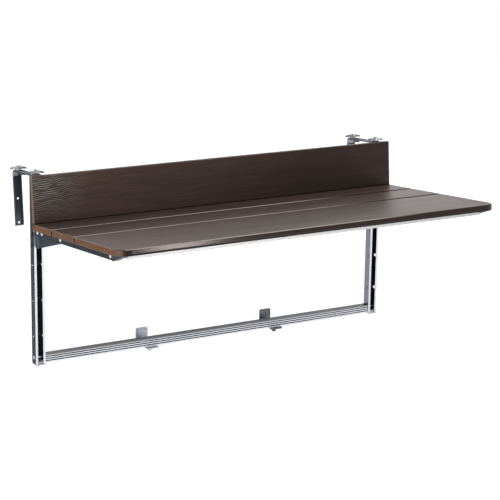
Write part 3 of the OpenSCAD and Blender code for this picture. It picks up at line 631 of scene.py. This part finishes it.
along_rail, along_post = (4, 420, 420), (420, 420, 5)
post_metal, rail_metal, shaded_top_metal = (0.70, 0.72, 0.77), (0.70, 0.73, 0.78), (0.18, 0.182, 0.19)
rail_top = -0.3490
# The posts' outer faces are painted darker, the right one more: painted shade.
post_side_shades = {"left": (-post_stand, (0.25, 0.265, 0.31)), "right": (post_stand, (0.20, 0.215, 0.26))}
post_alu = {}
for side, (x, outer_face) in post_side_shades.items():
    post_alu[side] = drawn_metal(side + "_post_alu", along_post, post_metal, 0.28, (-lean, 0, 0),
                                 post_hollow(x), sides=outer_face)
rail_alu = drawn_metal("rail_alu", along_rail, rail_metal, 0.30, hollow_mask=rail_grooves,
                       shaded_top=(shaded_top_metal, rail_top))
bar_alu = drawn_metal("bar_alu", along_rail, (0.44, 0.435, 0.43), 0.36)
print("aluminium finishes:", len(post_alu) + 2)

# %% [markdown]
# ## Plated fasteners
# Bolts, nuts and screws are zinc plated: pale, with a faint blue and yellow cast that drifts over each
# piece. The wing nuts are bright round the bolt and painted dark at the tips of their wings, as painted
# shade there. A mask by the distance from the bolt's axis does that, and folding x over makes it serve
# both sides.

# %% Plate the fasteners
wing_tip_shade = (0.075, 0.080, 0.095)
seat_bolt_y, hook_bolt_y = -0.009, 0.075


def plated(name, colour, cast, rough=0.3, bolt_y=None):
    """Zinc with a drifting cast, and wing tips painted dark as shade where the bolt's place is given."""
    finish, tree, shader, here = new_finish(name)
    at = here.outputs["Object"]
    drift = grain(tree, at, (1, 1, 1), 60.0, 3, 0.6)
    pits = grain(tree, at, (1, 1, 1), 1400.0, 2, 0.7)
    tone = blend(tree, spread(tree, drift, 0.38, 0.62), colour, cast)
    tone = blend(tree, spread(tree, pits, 0.55, 0.75, 0.0, 0.35), tone, scaled(colour, 0.5))
    if bolt_y is not None:
        split = add(tree, "ShaderNodeSeparateXYZ", {0: at}).outputs
        folded_x = count(tree, "ABSOLUTE", split["X"])
        folded = add(tree, "ShaderNodeCombineXYZ", {"X": folded_x, "Y": split["Y"]})
        from_bolt = add(tree, "ShaderNodeVectorMath", {0: folded, 1: (post_stand, bolt_y, 0)},
                        operation="DISTANCE")
        # Painted shade on the wing tips.
        tone = blend(tree, spread(tree, from_bolt.outputs["Value"], 0.0085, 0.0130), tone, wing_tip_shade)
    tree.links.new(tone, shader.inputs["Base Color"])
    tree.links.new(spread(tree, pits, 0.3, 0.7, rough - 0.06, rough + 0.12), shader.inputs["Roughness"])
    emboss(tree, shader, pits, 0.1, 0.0001, round_edges(tree, 0.0003))
    shader.inputs["Metallic"].default_value = 1.0
    return finish


zinc = plated("zinc", (0.56, 0.58, 0.63), (0.60, 0.59, 0.58))
seat_wing_zinc = plated("seat_wing_zinc", (0.20, 0.21, 0.24), (0.46, 0.46, 0.50), bolt_y=seat_bolt_y)
hook_wing_zinc = plated("hook_wing_zinc", (0.36, 0.37, 0.43), (0.44, 0.44, 0.48), bolt_y=hook_bolt_y)
dark_zinc = plated("dark_zinc", (0.060, 0.063, 0.072), (0.085, 0.085, 0.090), 0.34)
rivet_zinc = plated("rivet_zinc", (0.93, 0.93, 0.94), (0.93, 0.92, 0.90), 0.36)
print("plated finishes: 5")

# %% [markdown]
# ## Galvanised rests and mouldings
# The rest brackets are galvanised, which freezes into flat crystals. A Voronoi texture gives each
# crystal its own shade. The two brackets are the same metal, but the left one is painted light, a painted
# reflection of a bright room, and the right one dark, a painted reflection of a dark corner; the right
# one's bolt and nut are dark zinc for the same reason. The mouldings are plastic with a fine
# spark-eroded texture, and the pads are rubber.

# %% Make the other small finishes
def galvanised(name, dark, light):
    """Zinc crystals between a dark and a light shade."""
    finish, tree, shader, here = new_finish(name)
    crystals = add(tree, "ShaderNodeTexVoronoi", {"Vector": here.outputs["Object"], "Scale": 260.0})
    shade = add(tree, "ShaderNodeSeparateColor", {0: crystals.outputs["Color"]}).outputs
    tree.links.new(blend(tree, shade[0], dark, light), shader.inputs["Base Color"])
    tree.links.new(spread(tree, shade[1], 0, 1, 0.32, 0.5), shader.inputs["Roughness"])
    emboss(tree, shader, shade[2], 0.08, 0.0001, round_edges(tree, 0.0004))
    shader.inputs["Metallic"].default_value = 1.0
    return finish


def moulded(name, colour, rough, size=1500.0, depth=0.25):
    """Plastic or rubber with a fine skin."""
    finish, tree, shader, here = new_finish(name)
    at = here.outputs["Object"]
    skin = add(tree, "ShaderNodeTexVoronoi", {"Vector": at, "Scale": size})
    cloud = grain(tree, at, (1, 1, 1), 25.0, 3, 0.6)
    tone = blend(tree, spread(tree, cloud, 0.35, 0.65), colour, scaled(colour, 1.25))
    tree.links.new(tone, shader.inputs["Base Color"])
    tree.links.new(spread(tree, cloud, 0.3, 0.7, rough - 0.06, rough + 0.06), shader.inputs["Roughness"])
    emboss(tree, shader, skin.outputs["Distance"], depth, 0.0002, round_edges(tree, 0.0005))
    return finish


# Lit and shaded copies of one metal: painted reflections.
rest_steel = {"left": galvanised("left_rest_steel", (0.36, 0.39, 0.43), (0.54, 0.57, 0.62)),
              "right": galvanised("right_rest_steel", (0.110, 0.115, 0.130), (0.200, 0.210, 0.230))}
seat_plastic = moulded("seat_plastic", (0.022, 0.023, 0.026), 0.5)
foot_plastic = moulded("foot_plastic", (0.46, 0.47, 0.49), 0.4)
nose_plastic = moulded("nose_plastic", (0.085, 0.104, 0.132), 0.42)
pad_rubber = moulded("pad_rubber", (0.016, 0.016, 0.017), 0.78, 900.0, 0.5)
print("galvanised and moulded finishes: 6")

# %% [markdown]
# ## Giving the parts their finishes
# A CAD part keeps its mesh and only swaps what is in its material slots. One table says which part
# wears what, and the last line counts parts that were forgotten.

# %% Dress the CAD parts
worn_by = {
    arm_paint: ["left_arm", "right_arm", "left_gusset", "right_gusset"],
    hook_paint: ["left_hook_arm", "right_hook_arm"],
    leg_paint: ["left_hook_leg", "right_hook_leg"],
    nose_plastic: ["left_nose", "right_nose"],
    post_alu["left"]: ["left_post"],
    post_alu["right"]: ["right_post"],
    rail_alu: ["bottom_rail"],
    bar_alu: ["cross_bar"],
    rivet_zinc: ["arm_rivets"],
    # The left rest's bolt and nut are plain zinc and the right rest's are dark zinc: painted reflection.
    zinc: ["backboard_screws", "slat_screws", "cross_bar_screws", "rail_screws", "pivot_nuts", "lock_nuts",
           "left_hook_bolt", "right_hook_bolt", "left_rest_bolt", "left_rest_nut"],
    seat_wing_zinc: ["left_seat_nut", "right_seat_nut"],
    hook_wing_zinc: ["left_hook_nut", "right_hook_nut"],
    dark_zinc: ["lock_bolts", "pivot_bolts", "seat_bolts", "right_rest_bolt", "right_rest_nut"],
    rest_steel["left"]: ["left_rest_bracket"],
    rest_steel["right"]: ["right_rest_bracket"],
    seat_plastic: ["left_seat_block", "right_seat_block", "pivot_bushings"],
    foot_plastic: ["left_foot", "right_foot"],
    pad_rubber: ["left_rest_pad", "right_rest_pad"],
}
finish_of = dict(boards)
for finish, names in worn_by.items():
    for name in names:
        finish_of[name] = finish
for name, finish in finish_of.items():
    for slot in parts[name].material_slots:
        slot.material = finish
print("dressed:", len(finish_of), "left bare:", sorted(set(parts) - set(finish_of)))

# %% [markdown]
# ## Recipes for the small repeated shapes
# Threads, the rims of rivets, rolled edges and ribs all repeat along a line or a list of places.
# Geometry Nodes suit that: a recipe is a small tree with named sizes, and a mesh of a few points or
# lines says where the shape goes. The result is then turned into a plain mesh, which can ride on a
# moving body.

# %% Helpers for recipes
def new_recipe(name, sizes):
    """An empty recipe that takes places and named sizes, and its group input."""
    tree = bpy.data.node_groups.new(name, "GeometryNodeTree")
    tree.interface.new_socket("Places", in_out="INPUT", socket_type="NodeSocketGeometry")
    for size in sizes:
        tree.interface.new_socket(size, in_out="INPUT", socket_type="NodeSocketFloat")
    tree.interface.new_socket("Shape", in_out="OUTPUT", socket_type="NodeSocketGeometry")
    return tree, add(tree, "NodeGroupInput").outputs


def close_recipe(tree, shape, finish):
    """Make copies real and give them their finish, as the export needs."""
    real = add(tree, "GeometryNodeRealizeInstances", {0: shape})
    worn = add(tree, "GeometryNodeSetMaterial", {0: real, "Material": finish})
    add(tree, "NodeGroupOutput", {0: worn})
    return tree


def circle(tree, resolution, radius=None):
    """A round section, with its radius linked where it is given."""
    made = add(tree, "GeometryNodeCurvePrimitiveCircle", {"Resolution": resolution})
    tree.links.new(radius, made.inputs["Radius"])
    return made

# %% [markdown]
# ## Cooking a recipe
# Sizes and places are written in millimetres, as in the CAD model, and Blender works in metres. A
# modifier's input is set by the socket's identifier. The evaluated result is copied into a plain mesh
# before the modifier goes.

# %% Run a recipe
def cook(name, recipe, points, lines, sizes, body):
    """Run a recipe on points or lines in millimetres, keep the mesh, and let it ride on a body."""
    places = bpy.data.meshes.new(name + "_places")
    places.from_pydata([tuple(v / 1000 for v in point) for point in points], lines, [])
    piece = bpy.data.objects.new(name, places)
    scene.collection.objects.link(piece)
    cooking = piece.modifiers.new("recipe", "NODES")
    cooking.node_group = recipe
    for socket in recipe.interface.items_tree:
        if socket.in_out == "INPUT" and socket.name in sizes:
            cooking[socket.identifier] = sizes[socket.name] / 1000
    cooked = piece.evaluated_get(bpy.context.evaluated_depsgraph_get())
    shape = bpy.data.meshes.new_from_object(cooked)
    piece.modifiers.remove(cooking)
    piece.data = shape
    bpy.data.meshes.remove(places)
    shape.name = name
    shape.polygons.foreach_set("use_smooth", [True] * len(shape.polygons))
    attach(piece, body)
    print(name, "faces:", len(shape.polygons), "on", body)


def leaned(x, y, z):
    """A place given in the upright frame, in millimetres, turned with the leaning frame."""
    return (x, y * math.cos(lean) - z * math.sin(lean), y * math.sin(lean) + z * math.cos(lean))


def pairs(ends):
    """The lines that join each two points that follow each other."""
    return [(i, i + 1) for i in range(0, len(ends), 2)]

# %% [markdown]
# ## Bolt threads
# Only the last turns of each thread show, where a bolt ends past its nut. The recipe winds a spiral of
# the bolt's radius and lays a thin round section along it. An M6 bolt climbs one millimetre a turn.

# %% Write the thread recipe
def thread_recipe(name, turned):
    """The last turns of a thread, turned to the bolt's direction."""
    tree, given = new_recipe(name, ("Radius", "Length", "Pitch"))
    turns = count(tree, "DIVIDE", given["Length"], given["Pitch"])
    spiral = add(tree, "GeometryNodeCurveSpiral", {
        "Resolution": 20, "Rotations": turns, "Start Radius": given["Radius"],
        "End Radius": given["Radius"], "Height": given["Length"]})
    section = circle(tree, 6, times(tree, given["Pitch"], 0.28))
    wound = add(tree, "GeometryNodeCurveToMesh", {
        "Curve": spiral, "Profile Curve": section, "Fill Caps": True})
    placed = add(tree, "GeometryNodeTransform", {0: wound, "Rotation": turned})
    copies = add(tree, "GeometryNodeInstanceOnPoints", {"Points": given["Places"], "Instance": placed})
    return close_recipe(tree, copies, zinc)


upward_thread = thread_recipe("upward_thread", (0, 0, 0))
leaning_thread = thread_recipe("leaning_thread", (lean, 0, 0))
sideways_thread = thread_recipe("sideways_thread", (0, math.pi / 2, 0))
print("thread recipes: 3")

# %% Cut the threads
SIDES = {"left": -1, "right": 1}
post_x, rest_x, seat_y, hook_y = 381, 143, -9, 75
bolt_in, pivot_drop, lock_drop, cross_bolt_ends = -9.5, -132, -110, (-365.8, 364.2)
seat_nut_top, hook_nut_top, rest_nut_low = 11.05, 11.35, -374.6
short_thread = {"Radius": 2.9, "Length": 0.75, "Pitch": 1.0}
long_thread = {"Radius": 2.9, "Length": 1.6, "Pitch": 1.0}
cook("seat_bolt_threads", upward_thread, [(side * post_x, seat_y, seat_nut_top) for side in (-1, 1)], [],
     short_thread, "frame")
cook("cross_bolt_threads", sideways_thread,
     [leaned(x, bolt_in, drop) for drop in (pivot_drop, lock_drop) for x in cross_bolt_ends], [],
     long_thread, "frame")
for name, side in SIDES.items():
    cook(name + "_hook_thread", upward_thread, [(side * post_x, hook_y, hook_nut_top)], [],
         short_thread, name + "_hook")
    cook(name + "_rest_thread", leaning_thread, [leaned(side * rest_x, seat_y, rest_nut_low)], [],
         long_thread, name + "_carriage")

# %% [markdown]
# ## Rivet heads
# A blind rivet keeps the mark of its drawn pin: a small stub in the middle of the head, in a pressed
# ring. Sixteen heads get the pair, four on each side of the two arms.

# %% Mark the rivet heads
def rivet_recipe():
    """A ring and a stub on each rivet head, facing sideways."""
    tree, given = new_recipe("rivet_mark", ("Ring radius", "Wire radius", "Stub radius"))
    ring = add(tree, "GeometryNodeCurveToMesh", {"Curve": circle(tree, 20, given["Ring radius"]),
                                                 "Profile Curve": circle(tree, 8, given["Wire radius"])})
    stub = add(tree, "GeometryNodeMeshUVSphere", {
        "Segments": 12, "Rings": 8, "Radius": given["Stub radius"]})
    both = add(tree, "GeometryNodeJoinGeometry", {0: ring})
    tree.links.new(stub.outputs[0], both.inputs[0])
    outward = add(tree, "GeometryNodeTransform", {0: both, "Rotation": (0, math.pi / 2, 0)})
    copies = add(tree, "GeometryNodeInstanceOnPoints", {"Points": given["Places"], "Instance": outward})
    return close_recipe(tree, copies, rivet_zinc)


rivet_ys, rivet_z, head_out = (-18, -38, -122, -331), -105.25, 8.45
heads = [(side * post_x + out * head_out, y, rivet_z)
         for side in (-1, 1) for out in (-1, 1) for y in rivet_ys]
cook("rivet_marks", rivet_recipe(), heads, [],
     {"Ring radius": 1.35, "Wire radius": 0.22, "Stub radius": 0.75}, "table")

# %% [markdown]
# ## Rolled edges of the arms
# Folded sheet is rarely left with a raw edge where hands can reach it. A thin bead runs along both
# lower edges of each arm, in a near black paint: a painted shadow line that parts the arm from the
# gusset inside it.

# %% Roll the arm edges
def bead_recipe(name, finish):
    """A round bead along each line."""
    tree, given = new_recipe(name, ("Radius",))
    line = add(tree, "GeometryNodeMeshToCurve", {0: given["Places"]})
    section = circle(tree, 12, given["Radius"])
    bead = add(tree, "GeometryNodeCurveToMesh", {
        "Curve": line, "Profile Curve": section, "Fill Caps": True})
    return close_recipe(tree, bead, finish)


arm_front, arm_rear, arm_low, wall_mid = -338, -12, -111.4, 5.95
edges = [(side * post_x + out * wall_mid, y, arm_low)
         for side in (-1, 1) for out in (-1, 1) for y in (arm_front, arm_rear)]
cook("arm_beads", bead_recipe("arm_bead", shadow_line_paint), edges, pairs(edges), {"Radius": 1.1},
     "table")

# %% [markdown]
# ## Grip ribs on the rubber pads
# The pads that bear on the railing have low round ribs, so that they grip and let rain run off. The
# same bead recipe makes them, with rubber on it.

# %% Rib the pads
rib_recipe = bead_recipe("pad_rib", pad_rubber)
pad_back, pad_mid, rib_count, rib_step, rib_half = 31.9, -348.6, 6, 2.8, 9.0
heights = [pad_mid + (i - (rib_count - 1) / 2) * rib_step for i in range(rib_count)]
for name, side in SIDES.items():
    ends = [leaned(side * rest_x + end * rib_half, pad_back, z) for z in heights for end in (-1, 1)]
    cook(name + "_pad_ribs", rib_recipe, ends, pairs(ends), {"Radius": 0.8}, name + "_rest")

# %% [markdown]
# ## Cross recesses
# The two screws that hold the bottom rail take a cross-head driver. The cross is drawn as two short
# dark beads, sunk to their middle in the head, whose dark zinc is painted shade of the recess.

# %% Cross the screw heads
recess_recipe = bead_recipe("screw_recess", dark_zinc)
head_x, screw_z, arm = 392.75, -352.2, 1.7
ends = []
for side in (-1, 1):
    for dy, dz in ((arm, 0), (0, arm)):
        ends += [leaned(side * head_x, seat_y + sign * dy, screw_z + sign * dz) for sign in (-1, 1)]
cook("rail_screw_crosses", recess_recipe, ends, pairs(ends), {"Radius": 0.35}, "frame")
